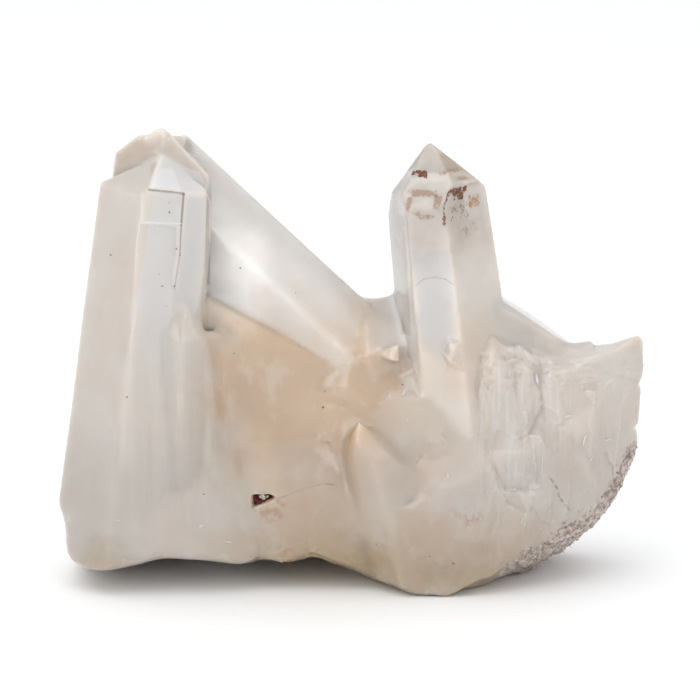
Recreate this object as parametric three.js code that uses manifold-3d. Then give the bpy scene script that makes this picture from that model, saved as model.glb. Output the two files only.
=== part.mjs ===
// A cluster of milky quartz crystals that grew together from one root, broken off its rock and
// standing on the flat of the break. Millimetres, +Z up, the side that is meant to be seen facing -Y.
// The crystals interpenetrate, so the whole cluster is one solid: each crystal is a convex shape cut
// out by its own faces, and all of them are joined with the rough root that carries them.
import * as THREE from "three";
import { ConvexGeometry } from "three/addons/geometries/ConvexGeometry.js";
import { mergeVertices } from "three/addons/utils/BufferGeometryUtils.js";
import Module from "manifold-3d";

const wasm = await Module();
wasm.setup();

// ---- Driving dimensions ------------------------------------------------------------------------

const POINT_SLOPE = 51.79; // degrees between a quartz point's face and the plane across the crystal
const TAPER = 1.0; // degrees that prism faces lean in towards the tip
const LAYER_OUT = [0.05, 0.24]; // least and most that one growth layer adds to a prism face
const FLOOR = 0; // height of the flat break that the cluster stands on
const ROOM = 300; // wider than the cluster, for what cuts all the way across it

const rad = THREE.MathUtils.degToRad;
const vec = (xyz) => new THREE.Vector3(...xyz);

// A small repeatable random source, so that every build gives the same stone.
function randomFrom(seed) {
  let state = seed * 2654435761;
  return () => {
    state = (state + 0x6d2b79f5) | 0;
    let t = Math.imul(state ^ (state >>> 15), 1 | state);
    t = (t + Math.imul(t ^ (t >>> 7), 61 | t)) ^ t;
    return ((t ^ (t >>> 14)) >>> 0) / 4294967296;
  };
}

// ---- Solids --------------------------------------------------------------------------------------

// A closed three.js geometry as a manifold-3d solid.
function solid(geometry) {
  const bare = new THREE.BufferGeometry().setAttribute("position", geometry.getAttribute("position"));
  if (geometry.index) bare.setIndex(geometry.index);
  const merged = mergeVertices(bare, 1e-4);
  return new wasm.Manifold(
    new wasm.Mesh({
      numProp: 3,
      vertProperties: merged.attributes.position.array,
      triVerts: new Uint32Array(merged.index.array),
    }),
  );
}

const join = (solids) => solids.reduce((all, next) => all.add(next));

// The convex body inside a set of planes, each given as { normal, point }: its corners are the
// places where three planes meet that lie inside all the others.
function bodyInside(planes) {
  const sides = planes.map(({ normal, point }) => ({ normal, reach: normal.dot(point) }));
  const corners = [];
  const across = new THREE.Vector3();
  for (let i = 0; i < sides.length; i++)
    for (let j = i + 1; j < sides.length; j++)
      for (let k = j + 1; k < sides.length; k++) {
        const [a, b, c] = [sides[i], sides[j], sides[k]];
        const volume = a.normal.dot(across.crossVectors(b.normal, c.normal));
        if (Math.abs(volume) < 1e-6) continue;
        const corner = new THREE.Vector3()
          .addScaledVector(new THREE.Vector3().crossVectors(b.normal, c.normal), a.reach / volume)
          .addScaledVector(new THREE.Vector3().crossVectors(c.normal, a.normal), b.reach / volume)
          .addScaledVector(new THREE.Vector3().crossVectors(a.normal, b.normal), c.reach / volume);
        if (sides.every((side) => side.normal.dot(corner) <= side.reach + 1e-5)) corners.push(corner);
      }
  const distinct = corners.filter((p, i) => !corners.slice(0, i).some((q) => q.distanceTo(p) < 2e-3));
  return solid(new ConvexGeometry(distinct));
}

// The directions of a crystal: along its axis from foot to tip, towards the viewer's side, and
// across, which is to the right where the crystal stands upright.
function directions({ tip, foot }) {
  const along = vec(tip).sub(vec(foot)).normalize();
  const towards = new THREE.Vector3(0, -1, 0);
  towards.addScaledVector(along, -towards.dot(along)).normalize();
  return { along, towards, across: new THREE.Vector3().crossVectors(along, towards) };
}

// The direction square to the axis that faces a given number of degrees round from the viewer's side.
function facing({ towards, across }, degrees) {
  return new THREE.Vector3()
    .addScaledVector(towards, Math.cos(rad(degrees)))
    .addScaledVector(across, Math.sin(rad(degrees)));
}

// One quartz crystal. faces holds the distances from the axis to its six prism faces at the height of
// the tip, counted round from the front, and turn rotates them. point lists the faces of the tip as
// [facing, how far below the tip the face meets the axis, slope]; the usual six are made when it is
// left out, every other one set back by uneven. Each number in layers is a growth layer: the same
// crystal, that much shorter and a little wider, which leaves a step on the faces where it ends.
function crystal(shape) {
  const { tip, foot, turn = 0, faces, taper = TAPER, uneven = 0.9, layers = [], seed = 1 } = shape;
  const frame = directions(shape);
  const random = randomFrom(seed);
  const point =
    shape.point ?? faces.map((_, k) => [turn + 60 * k, k % 2 ? -uneven : 0, POINT_SLOPE]);
  const grown = faces.map(() => 0);
  const body = (drop) => {
    const top = vec(tip).addScaledVector(frame.along, -drop);
    const planes = faces.map((distance, k) => {
      const out = facing(frame, turn + 60 * k);
      return {
        normal: out
          .clone()
          .multiplyScalar(Math.cos(rad(taper)))
          .addScaledVector(frame.along, Math.sin(rad(taper))),
        point: vec(tip).addScaledVector(out, distance + grown[k]),
      };
    });
    for (const [degrees, down, slope = POINT_SLOPE] of point)
      planes.push({
        normal: facing(frame, degrees)
          .multiplyScalar(Math.sin(rad(slope)))
          .addScaledVector(frame.along, Math.cos(rad(slope))),
        point: top.clone().addScaledVector(frame.along, -down),
      });
    planes.push({ normal: frame.along.clone().negate(), point: vec(foot) });
    return bodyInside(planes);
  };
  const bodies = [body(0)];
  for (const drop of layers) {
    const [least, most] = LAYER_OUT;
    grown.forEach((_, k) => (grown[k] += least + (most - least) * random()));
    bodies.push(body(drop));
  }
  return join(bodies);
}

// A box laid on one prism face of a crystal, to cut a growth step with: its middle is `down` below
// the tip and `aside` from the foot of the axis on that face. It is sunk `deep` into the face at its
// middle, and `fade` degrees deeper towards the tip, so that the step runs out lower down.
function panel(shape, face, { aside, down, width, length, deep, fade }) {
  const { tip, faces, turn, taper } = shape;
  const frame = directions(shape);
  const out = facing(frame, turn + 60 * face);
  const right = new THREE.Vector3().crossVectors(frame.along, out);
  const height = 6;
  const middle = vec(tip)
    .addScaledVector(frame.along, -down)
    .addScaledVector(out, faces[face] + down * Math.tan(rad(taper)) - deep)
    .addScaledVector(right, aside);
  const box = new THREE.BoxGeometry(width, length, height)
    .translate(0, 0, height / 2)
    .rotateX(-rad(taper + fade));
  return solid(box.applyMatrix4(new THREE.Matrix4().makeBasis(right, frame.along, out).setPosition(middle)));
}

// A broken shard: the convex hull of its corners.
const shard = (corners) => solid(new ConvexGeometry(corners.map(vec)));

// A curve through [x, height] points, level before the first and after the last.
function profile(points) {
  return (x) => {
    const next = points.findIndex((p) => p[0] > x);
    if (next === 0) return points[0][1];
    if (next < 0) return points[points.length - 1][1];
    const [[x0, z0], [x1, z1]] = [points[next - 1], points[next]];
    return z0 + (z1 - z0) * THREE.MathUtils.smoothstep((x - x0) / (x1 - x0), 0, 1);
  };
}

// Smooth random heights between -1 and 1, with one random value at each corner of a square lattice.
function roughness(spacing, seed) {
  const at = (i, j) => 2 * randomFrom(seed + 57 * i + 131 * j)() - 1;
  return (x, y) => {
    const [i, j] = [Math.floor(x / spacing), Math.floor(y / spacing)];
    const s = THREE.MathUtils.smoothstep(x / spacing - i, 0, 1);
    const t = THREE.MathUtils.smoothstep(y / spacing - j, 0, 1);
    const near = THREE.MathUtils.lerp(at(i, j), at(i + 1, j), s);
    const far = THREE.MathUtils.lerp(at(i, j + 1), at(i + 1, j + 1), s);
    return THREE.MathUtils.lerp(near, far, t);
  };
}

// A fractured surface to cut with: a thick slab whose top follows height(x, y), in steps of `grid`.
function broken({ width, depth, grid, thick, height }) {
  const across = Math.round(width / grid);
  const back = Math.round(depth / grid);
  const slab = new THREE.BoxGeometry(width, depth, thick, across, back, 1).translate(0, 0, -thick / 2);
  const place = slab.getAttribute("position");
  for (let i = 0; i < place.count; i++)
    if (place.getZ(i) > -1e-3) place.setZ(i, height(place.getX(i), place.getY(i)));
  slab.deleteAttribute("normal");
  slab.deleteAttribute("uv");
  return slab;
}

// ---- The crystals --------------------------------------------------------------------------------

const leftTower = {
  tip: [-34, -7.5, 82.3],
  foot: [-44.2, -7, -6],
  turn: 20,
  faces: [4.8, 8.9, 8, 7.6, 11.4, 6],
  taper: 1.7,
  point: [
    [20, 0, 51.8],
    [-40, -1.1, 51.8],
    [-100, -8, 51.8],
    [80, -13.2, 66],
    [140, 0, 50],
    [-160, 0, 50],
  ],
};

const leftTwin = {
  tip: [-34.2, -7.5, 87.3],
  foot: [-44, -6.6, -6],
  turn: -24,
  faces: [0.1, 7.4, 9, 12, 12, 8.1],
  point: [
    [2, 0.1, 88],
    [98, 0, 42],
    [-95, 1.9, 7],
    [-95, -2.4, 44],
    [172, -0.2, 32],
  ],
  layers: [30, 52],
  seed: 5,
};

const slantingCrystal = {
  tip: [-39.2, 9.8, 77.1],
  foot: [7.3, 6, 33.5],
  turn: -20,
  faces: [10.2, 10.7, 10, 10, 9, 9.4],
  taper: 0.3,
  point: [
    [90, -2.4, 20],
    [-90, 0, 52],
    [180, -2, 48],
    [0, -4, 55],
  ],
};

const rightTower = {
  tip: [14.9, 2, 83.5],
  foot: [25.4, 1, -4],
  turn: -15,
  faces: [8.4, 7.1, 8.5, 8.1, 10.1, 7.3],
  taper: 2,
  point: [
    [-15, 0, 51.8],
    [45, -0.6, 49],
    [105, 0.2, 47],
    [165, -0.7, 51.8],
    [-135, 0, 51.8],
    [-75, -0.7, 51.8],
  ],
  layers: [50],
  seed: 11,
};

const middleCrystal = {
  tip: [-18.5, 7.5, 49.8],
  foot: [-4, 6.5, -6],
  faces: [11.2, 20.3, 18, 13, 19, 19.5],
  taper: 0.6,
  point: [
    [90, 0, 42],
    [-90, -20, 50],
    [180, -4, 50],
  ],
};

const middleBehind = {
  tip: [2.4, 3, 53.1],
  foot: [8, 3, 0],
  turn: 30,
  faces: [8, 12, 12, 12, 10, 8],
  point: [
    [30, 0, 47],
    [-30, 0, 47],
    [-170, 0, 13],
  ],
};

const bluntPoint = {
  tip: [-4.4, 0.4, 40.8],
  foot: [20, -0.6, 24.2],
  turn: 26,
  faces: [7, 6.6, 8, 8, 8, 6.4],
  taper: 0.6,
  point: [
    [90, 0, 6],
    [10, -2.4, 42],
    [-70, -2, 32],
    [180, -2, 40],
  ],
  layers: [15],
  seed: 19,
};

const rightRoot = {
  tip: [15.6, 2, 51],
  foot: [22, 2, -4],
  turn: -10,
  faces: [8.2, 9.4, 10, 10, 10, 8.6],
  layers: [22],
  seed: 23,
};

const frontBlade = {
  tip: [1.6, -10.5, 33.6],
  foot: [11.2, -9.8, -6],
  turn: 28,
  faces: [4.6, 9.6, 12, 6, 3.8, 3.4],
  point: [
    [88, 0, 60],
    [28, -0.4, 60],
    [-92, -1, 60],
    [150, 0, 56],
    [-152, 0, 56],
  ],
};

const smallPoint = {
  tip: [-31, -12, 55.4],
  foot: [-31.5, -1.4, 10],
  turn: 32,
  faces: [2.7, 3.5, 3, 3, 3.1, 2.7],
  taper: 8.5,
  point: [
    [32, 0, 60],
    [-28, 0, 60],
    [92, 0.2, 57],
    [-88, 0.1, 57],
    [152, 0, 60],
    [-148, 0, 60],
  ],
};

const rightShoulder = {
  tip: [22, 6, 57.5],
  foot: [34, 5, 2],
  turn: 10,
  faces: [8, 15, 15, 9, 9, 8],
  point: [
    [95, 0.2, 46],
    [70, -1.2, 46],
    [180, -1, 50],
    [-90, -3, 50],
  ],
  layers: [24],
  seed: 37,
};

// A row of slender crystals side by side at the right tower's foot, each lower than the last.
const slenderRow = [
  { tip: [26.6, -4, 47.6], foot: [31, -4.6, 12], turn: 18, faces: [4, 3, 3.2, 3, 3, 3.6] },
  { tip: [31.4, -3.8, 46.4], foot: [35, -4.4, 14], turn: 40, faces: [4, 3.2, 3, 3, 2.6, 3.4] },
  { tip: [35.4, -3.6, 43.5], foot: [38, -3.4, 12], turn: 8, faces: [4.2, 3, 3, 3, 2.8, 3.4] },
  { tip: [39.8, -2.8, 41], foot: [43, -2.6, 14], turn: 30, faces: [4.2, 3.4, 3, 3, 3, 3.4] },
].map((one) => ({ ...one, taper: 1.4, uneven: 0.4 }));

// The ones that face away, leaning back from the same root.
const behindRow = [
  { tip: [-25, 28.2, 57], foot: [-18, 8, 4], turn: 12, faces: [7, 7.6, 6.4, 7, 7.4, 6.6], layers: [19] },
  { tip: [-46, 25, 38], foot: [-34, 9, 4], turn: -9, faces: [5.2, 4.6, 5, 5, 4.4, 5], layers: [14] },
  { tip: [1, 27, 39], foot: [4, 6, 2], turn: 25, faces: [5.6, 6.2, 5.4, 6, 5.4, 5.8], layers: [13] },
  { tip: [32, 22, 41], foot: [22, 6, 2], turn: 3, faces: [6.4, 5.8, 6.6, 6, 6, 6.2], layers: [15] },
  { tip: [-9, 31.2, 25], foot: [-6, 10, 4], turn: 40, faces: [3.6, 3.4, 3.8, 3.4, 3.4, 3.6] },
  { tip: [16, 30.6, 24], foot: [12, 10, 4], turn: -14, faces: [4, 4.2, 3.6, 4, 4, 3.8] },
  { tip: [47, 19, 27], foot: [32, 6, 6], turn: 20, faces: [4.2, 4, 4.4, 4, 4, 4.2] },
  { tip: [-31, 31.6, 21], foot: [-24, 12, 4], turn: 8, faces: [3.6, 3.8, 3.4, 3.6, 3.6, 3.4] },
].map((one, k) => ({ ...one, uneven: 0.6, seed: 80 + k }));

const crystals = [
  leftTwin,
  slantingCrystal,
  rightTower,
  middleCrystal,
  middleBehind,
  bluntPoint,
  rightRoot,
  frontBlade,
  smallPoint,
  rightShoulder,
  ...slenderRow,
  ...behindRow,
];

// ---- The root ------------------------------------------------------------------------------------

// The massive quartz that the crystals rise from, in broken shards. Its corners are [x, y, z].
const rootShards = [
  // under the left tower
  [
    [-54, -9, -4], [-54, 10, -4], [-53.6, -8, 15], [-50, 18, 22], [-46, -15, -4], [-45, -14.6, 12],
    [-34, -14.6, 12], [-31, -15.8, -4], [-27, -12.8, 21], [-22.5, -13.4, 12], [-23.2, -8, 28],
    [-20.5, -13.8, -4], [-17.4, -12, -4], [-17.6, -11, 12], [-19, 20, 26],
    [-40, 25, 12], [-20, 27, 10], [-44, 24, -4], [-18, 28, -4], [-30, 6, 30],
  ],
  // the low mass in the middle, in front of the big plane
  [
    [-19.6, -9.6, 15.6], [-18.8, -11, -4], [-12, -10.4, 16.4], [-3.5, -9.8, 19.8], [2.6, -9.6, 18],
    [1, -11.6, 9], [-4.5, -12.4, -4], [6, -8, -4], [-10, 10, 22], [6, 8, 24], [-16, 8, 14],
    [-20.6, -4.2, 27], [-12, -3.9, 27], [-4, -4.2, 29],
  ],
  // what fills the corner between the left twin's foot and the big plane
  [
    [-27, -11.6, 16], [-27.4, -10.8, 44], [-26.6, -9, 50], [-19, -4.2, 20], [-20.5, -4.1, 46],
    [-17.6, -4.2, 30], [-24, 4, 16], [-24, 4, 48],
  ],
  // the middle and its back
  [
    [-20, -4, -4], [-20, 26, -4], [-16, 27, 17], [-14, -2, 26], [2, -6, 30], [-6, 22, 32], [14, 22, 34],
    [18, 28, 10], [20, 27, -4], [12, -6, -4], [8, -4, 34], [20, 0, 36],
  ],
  // under the right tower, out to the broken plate
  [
    [8, -13, -4], [12, -15.4, 10], [9.5, -11, 22], [16, -14, 20], [24, -14.6, 12], [27, -12.6, 24],
    [33, -13, 14], [36, -9.6, 30], [40, -9, 20], [34, -8, -4], [20, -15.8, -4], [14, 18, 36],
    [34, 18, 30], [42, 14, 10], [36, 22, -4], [14, 26, -4], [22, -8, 32],
  ],
  // the glassy front between the right tower and the plate
  [
    [24.6, -6, 45], [30, -5.4, 45.4], [38, -4.2, 42.6], [45.4, -3.8, 39.4], [47, -5.4, 24], [38, -9.2, 13],
    [26, -11, 14], [23.6, -9.8, 26], [27, 6, 47], [42, 8, 42], [44, 6, 20], [28, 4, 14],
    [24.8, -8.8, 37.5], [31, -8.2, 38], [38.5, -7.2, 35],
  ],
  // what fills the corner under the blunt point, behind the front blade
  [
    [-5.6, -5.2, 35], [-4.6, -6.6, 29], [-2.4, -8, 20], [2, -9.2, 16], [16, -10.4, 16],
    [22.6, -10.2, 24], [15, -9.2, 30], [4, -7.8, 34], [21, -7.8, 35], [8, -7.2, 37.4],
    [0, 6, 36], [20, 6, 30], [20, 6, 14], [0, 6, 14],
  ],
  // the broken plate at the right end
  [
    [45.2, 2, 43.8], [49.8, 2, 44.8], [54.8, 2, 47], [55.8, 2, 45.7], [55.9, 2, 41.3], [54.9, 1, 33],
    [54.8, 0, 24], [53, -1, 14], [48, -3, 4], [40, -6, -4], [36, 2, 44], [38, -7, 40], [40, -8.4, 32],
    [46, -6.2, 35], [50.5, -3.6, 28], [45, -7.6, 20], [36, -11, 12], [40, 13, 41], [50, 11, 40],
    [54, 9, 26], [50, 12, 8], [40, 14, -4], [55, 8, 42],
  ],
].map(shard);

// Small broken faces and splinters that stand a little proud of the big ones.
const chips = [
  // the crest of the left twin and the splinter behind it
  [
    [-38.2, -6.2, 85.2], [-36.4, -6.8, 86.6], [-35.4, -7.2, 87.1], [-34.2, -7.6, 87.3], [-33, -6.6, 86.2],
    [-34.2, -7.6, 82], [-38, -1, 84.4], [-35, 0, 86.2], [-32.6, 0, 84],
  ],
  [
    [-34.4, 1, 84.7], [-30.3, 2, 84.5], [-31.6, 0, 82.8], [-34, 8, 83.6], [-31, 9, 83.4], [-31.4, 4, 76],
    [-38, 2, 78],
  ],
  // glassy corners on the towers' sides
  [[17, -8.2, 46], [18.3, -9.4, 47.8], [20.2, -9.6, 47.4], [21.6, -9.6, 42], [18.2, -9.6, 43.2], [19, 0, 45]],
  [[5, -5.6, 44.9], [9.3, -6.4, 47], [9.8, -6.6, 42.4], [7.6, -8.6, 43.4], [8, 0, 43]],
  [[36.7, -7.6, 35], [42.8, -6.6, 33.6], [46.2, -6.2, 24.4], [44.6, -7.9, 23.9], [38.2, -9, 31.8], [42, 0, 28]],
  // low broken corners along the front edge
  [
    [14, -14.4, 19.8], [17, -15, 15.8], [20.6, -15, 13.4], [22, -14.8, 10.4], [24.4, -14, 6.6],
    [24, -13, -4], [9, -16.4, -4], [8, -15.2, 17], [20, -4, 10],
  ],
].map(shard);

// What has broken away: an open cleft in the front and two bites in the right rim.
const clefts = [
  [
    [24.2, -20, 26.8], [33.5, -20, 27.4], [35.2, -20, 28.9], [37, -20, 27.4], [36.8, -20, 19],
    [28.3, -20, 19], [27.5, -20, 22.8], [25.4, -11.6, 26.2], [35.6, -9.9, 27.6], [36.2, -8.9, 19.8],
    [28.8, -10.4, 19.6],
  ],
  [
    [45.6, -10, 43.8], [45.6, 20, 43.8], [50, -10, 44.5], [50, 20, 44.5], [53.7, -10, 46.3],
    [53.7, 20, 46.3], [49, -10, 52], [49, 20, 52],
  ],
  [[53.9, -8, 36.8], [54.1, 20, 36.8], [60, -8, 41], [60, 20, 41], [60, -8, 34.6], [60, 20, 34.6]],
  [[53, -8, 28], [53.2, 20, 28], [60, -8, 33], [60, 20, 33], [60, -8, 26.4], [60, 20, 26.4]],
].map(shard);

// ---- The break underneath ------------------------------------------------------------------------

const VIEW_FALL = 0.213; // how far the underside drops for each millimetre further back
const BREAK_GRID = 2.4; // spacing of the corners on a broken surface
const BREAK_SIZE = [124, 84]; // width and depth of the break
const BREAK_THICK = 30; // how far a broken surface cuts away what lies beyond it
const CRUST_START = [18, 34]; // the crusted flank on the right sets in between these widths,
const CRUST_BACK = 2; // reaches back to here,
const CRUST_FALL = 0.3; // and drops this much for each millimetre

// Height of the underside's front edge, from the left end to the right.
const edge = profile([
  [-56, 9], [-52.5, 3.4], [-49, 2.1], [-42, 2.2], [-34, 4.4], [-29, 4], [-25.3, 3.5], [-22, 2.5],
  [-19, 2.7], [-17, 4.2], [-13, 3.1], [-7, 4.6], [-1, 1.8], [5, -0.8], [10, -2.5], [16, -4], [21, -2.6],
  [26, -2.2], [33, 0.2], [40, 4.3], [46, 9], [50, 13.6], [52.5, 19], [54.5, 24], [57, 31],
]);

// Shell-shaped hollows and small splinters, as in broken glass.
const HOLLOW = 0.7;
const SPLINTER = 0.3;
const hollows = roughness(7.5, 5);
const splinters = roughness(2.7, 9);
const fracture = (x, y) => HOLLOW * hollows(x, y) + SPLINTER * splinters(x, y);

function underside(x, y) {
  const steep = THREE.MathUtils.smoothstep(x, ...CRUST_START) * CRUST_FALL * Math.max(0, CRUST_BACK - y);
  return edge(x) - VIEW_FALL * y + steep + fracture(x, y);
}

// The back of the root, where the cluster came away from its rock: it leans in towards the top and
// curves in towards both ends.
const BACK_SIZE = [128, 52]; // width and height of the back
const BACK_GRID = 3.2; // spacing of its corners
const BACK_FOOT = 24; // how far back it stands at the foot
const BACK_LEAN = 0.3;
const BACK_CURVE = 0.0022;
const BACK_ROUGH = 2.4;
const BACK_SHIFT = 40; // keeps its fracture from repeating the one underneath

function backOfRoot(x, z) {
  const smooth = BACK_FOOT - BACK_LEAN * z - BACK_CURVE * x * x;
  return smooth + BACK_ROUGH * fracture(x + BACK_SHIFT, z);
}

// ---- Assembly ------------------------------------------------------------------------------------

// The left tower's front face has a sunken panel along its left edge, in two growth steps.
const growthSteps = [
  { aside: -1.7, down: 18, width: 9, length: 24, deep: 0.45, fade: 2.1 },
  { aside: -1.9, down: 21.7, width: 9, length: 19, deep: 0.45, fade: 2.6 },
].map((step) => panel(leftTower, 0, step));

const steppedTower = crystal(leftTower).subtract(join(growthSteps));

const [backWidth, backHeight] = BACK_SIZE;
const BACK_MIDDLE = 22; // height of its middle
const behind = broken({
  width: backWidth,
  depth: backHeight,
  grid: BACK_GRID,
  thick: BREAK_THICK,
  height: (x, z) => -backOfRoot(x, z + BACK_MIDDLE),
})
  .rotateX(Math.PI / 2)
  .translate(0, 0, BACK_MIDDLE);
const rootRock = join([...rootShards, ...chips]).subtract(solid(behind));

const [breakWidth, breakDepth] = BREAK_SIZE;
const below = broken({
  width: breakWidth,
  depth: breakDepth,
  grid: BREAK_GRID,
  thick: BREAK_THICK,
  height: underside,
});
const leftBreak = shard([
  [-80, -40, -10], [-80, 50, -10], [-53.2, -40, -10], [-53.4, 50, -10], [-53.7, -40, 13], [-53.9, 50, 13],
  [-56.4, -40, 17], [-56.4, 50, 17], [-80, -40, 17], [-80, 50, 17],
]);
const floor = new THREE.BoxGeometry(ROOM, ROOM, ROOM).translate(0, 0, FLOOR - ROOM / 2);
const standing = join([rootRock, steppedTower, ...crystals.map(crystal)])
  .subtract(join([solid(below), leftBreak, solid(floor), ...clefts]));

const mesh = standing.getMesh();
const geometry = new THREE.BufferGeometry()
  .setAttribute("position", new THREE.BufferAttribute(mesh.vertProperties, 3))
  .setIndex(new THREE.BufferAttribute(mesh.triVerts, 1));

// Stands the cluster on its flat break, over the middle of its width and depth.
geometry.computeBoundingBox();
const { min, max } = geometry.boundingBox;
geometry.translate(-(min.x + max.x) / 2, -(min.y + max.y) / 2, -min.z);

const cluster = new THREE.Mesh(
  geometry,
  new THREE.MeshStandardMaterial({ color: 0xd6cdc6, roughness: 0.18, metalness: 0 }),
);
cluster.name = "quartz_cluster";

const root = new THREE.Group();
root.add(cluster);

export default root;
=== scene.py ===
import itertools
import math

import bmesh
import bpy
import numpy as np
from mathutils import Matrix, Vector
from mathutils.bvhtree import BVHTree


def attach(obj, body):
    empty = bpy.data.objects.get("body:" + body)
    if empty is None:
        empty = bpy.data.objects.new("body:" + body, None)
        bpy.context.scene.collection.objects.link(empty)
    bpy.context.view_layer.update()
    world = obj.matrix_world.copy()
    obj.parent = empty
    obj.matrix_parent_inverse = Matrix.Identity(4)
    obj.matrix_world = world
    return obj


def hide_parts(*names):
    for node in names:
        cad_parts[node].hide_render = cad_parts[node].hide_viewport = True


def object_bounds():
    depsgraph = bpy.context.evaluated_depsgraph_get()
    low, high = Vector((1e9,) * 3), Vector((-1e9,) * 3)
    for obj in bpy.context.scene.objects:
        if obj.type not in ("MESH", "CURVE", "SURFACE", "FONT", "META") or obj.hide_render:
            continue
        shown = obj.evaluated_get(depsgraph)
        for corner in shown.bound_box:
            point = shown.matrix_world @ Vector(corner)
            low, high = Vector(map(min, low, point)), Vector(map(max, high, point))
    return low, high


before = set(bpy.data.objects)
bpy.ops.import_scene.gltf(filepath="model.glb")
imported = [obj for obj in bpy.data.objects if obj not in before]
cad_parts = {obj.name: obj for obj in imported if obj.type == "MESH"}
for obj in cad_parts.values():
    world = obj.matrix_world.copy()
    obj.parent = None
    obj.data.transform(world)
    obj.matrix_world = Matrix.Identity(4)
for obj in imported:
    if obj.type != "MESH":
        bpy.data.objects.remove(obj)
cad_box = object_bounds()

# ---- The quartz ----------------------------------------------------------------------------------
# One natural solid: milky quartz crystals that grew through each other from a common root. Flat
# growth faces meet in edges that are only slightly worn, and the root is bare broken quartz. It is
# see-through at the right tower's tip and clouds over towards the root.

MM = 0.001
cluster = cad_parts["quartz_cluster"]

GRAIN = 0.4  # mm, spacing of the skin's corners before flat faces are thinned out
WEAR = 2  # rounds of smoothing, which wear the edges
CREASE = 120  # rounds of filling where crystals meet
MELT = 26  # rounds of smoothing where the crystals run together at their feet
WORN = 44  # rounds of smoothing where the quartz is worn most
SKIN_TRIANGLES = 176000
BIG_FACE = (5.0, 22.0)  # mm2, broken facets are under the first and growth faces over the second


class Skin:
    """A mesh as numpy arrays: corner positions in mm and the corners that each edge joins."""

    def __init__(self, mesh):
        self.mesh = mesh
        self.places = np.empty(len(mesh.vertices) * 3)
        mesh.vertices.foreach_get("co", self.places)
        self.places = self.places.reshape(-1, 3) / MM
        self.edges = np.empty(len(mesh.edges) * 2, int)
        mesh.edges.foreach_get("vertices", self.edges)
        self.edges = self.edges.reshape(-1, 2)
        self.ends = np.bincount(self.edges.ravel(), minlength=len(self.places))

    def averaged(self, values):
        """The mean of each corner's neighbours."""
        total = np.zeros_like(values)
        for column in range(values.shape[1]):
            for near, far in ((0, 1), (1, 0)):
                total[:, column] += np.bincount(
                    self.edges[:, near], values[self.edges[:, far], column], len(values)
                )
        return total / np.maximum(self.ends, 1)[:, None]

    def softened(self, values, rounds, share=0.5):
        for _ in range(rounds):
            values = values * (1 - share) + self.averaged(values) * share
        return values

    def filled(self, rounds, share):
        """Corners pulled outward only, so that creases close up and ridges stay as they are."""
        for _ in range(rounds // 6):
            facing = self.normals()
            for _ in range(6):
                out = ((self.averaged(self.places) - self.places) * facing).sum(axis=1)
                self.places = self.places + facing * (np.maximum(out, 0) * share)[:, None]
            self.store(self.places)

    def normals(self):
        out = np.empty(len(self.places) * 3)
        self.mesh.vertex_normals.foreach_get("vector", out)
        return out.reshape(-1, 3)

    def store(self, places):
        self.places = places
        self.mesh.vertices.foreach_set("co", (places * MM).ravel())
        self.mesh.update()


def lattice(corners, seed):
    """A repeatable random number from -1 to 1 for each corner of a lattice, given as integers."""
    mixed = corners[:, 0] * 374761393 + corners[:, 1] * 668265263 + corners[:, 2] * 974634777
    mixed = (mixed + seed * 1274126177) & 0xFFFFFFFF
    mixed = ((mixed ^ (mixed >> 13)) * 1274126177) & 0xFFFFFFFF
    return (mixed ^ (mixed >> 16)) / 2**31 - 1


def swells(places, spacing, seed):
    """Smooth random heights from -1 to 1 over space."""
    low = np.floor(places / spacing).astype(np.int64)
    part = places / spacing - low
    part = part * part * (3 - 2 * part)
    total = np.zeros(len(places))
    for corner in itertools.product((0, 1), repeat=3):
        weight = np.prod(np.where(corner, part, 1 - part), axis=1)
        total += weight * lattice(low + corner, seed)
    return total


def chipped(places, spacing, seed):
    """Heights of small flat facets that meet in ridges and steps, as on broken glass."""
    low = np.floor(places / spacing).astype(np.int64)
    nearest = np.full(len(places), 1e9)
    height = np.zeros(len(places))
    for shift in itertools.product((-1, 0, 1), repeat=3):
        cell = low + shift
        jitter = np.stack([lattice(cell, seed + k) for k in range(3)], axis=1)
        away = places / spacing - (cell + 0.5 + 0.45 * jitter)
        distance = (away**2).sum(axis=1)
        tilt = np.stack([lattice(cell, seed + 3 + k) for k in range(3)], axis=1)
        here = (away * tilt).sum(axis=1) + 0.35 * lattice(cell, seed + 6)
        closer = distance < nearest
        nearest = np.where(closer, distance, nearest)
        height = np.where(closer, here, height)
    return height


def ramp(values, start, end):
    """0 before start and 1 after end, easing between them. End may be the lower one."""
    share = np.clip((values - start) / (end - start), 0, 1)
    return share * share * (3 - 2 * share)


def zoned(places, zones):
    """How far each place lies inside the strongest of some soft boxes, from 0 to 1. A box has its
    strength and its sides: an axis, where the side starts and where it has its full strength."""
    most = np.zeros(len(places))
    for strength, *sides in zones:
        here = strength
        for axis, start, full in sides:
            here = here * ramp(places[:, "xyz".index(axis)], start, full)
        most = np.maximum(most, here)
    return most


def baked(source, *modifiers):
    """The mesh of an object once modifiers, each a type with its settings, have been worked out."""
    holder = bpy.data.objects.new("holder", source)
    bpy.context.scene.collection.objects.link(holder)
    for kind, settings in modifiers:
        modifier = holder.modifiers.new(kind, kind)
        for name, value in settings.items():
            setattr(modifier, name, value)
    ready = holder.evaluated_get(bpy.context.evaluated_depsgraph_get())
    mesh = bpy.data.meshes.new_from_object(ready)
    bpy.data.objects.remove(holder)
    return mesh


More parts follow.
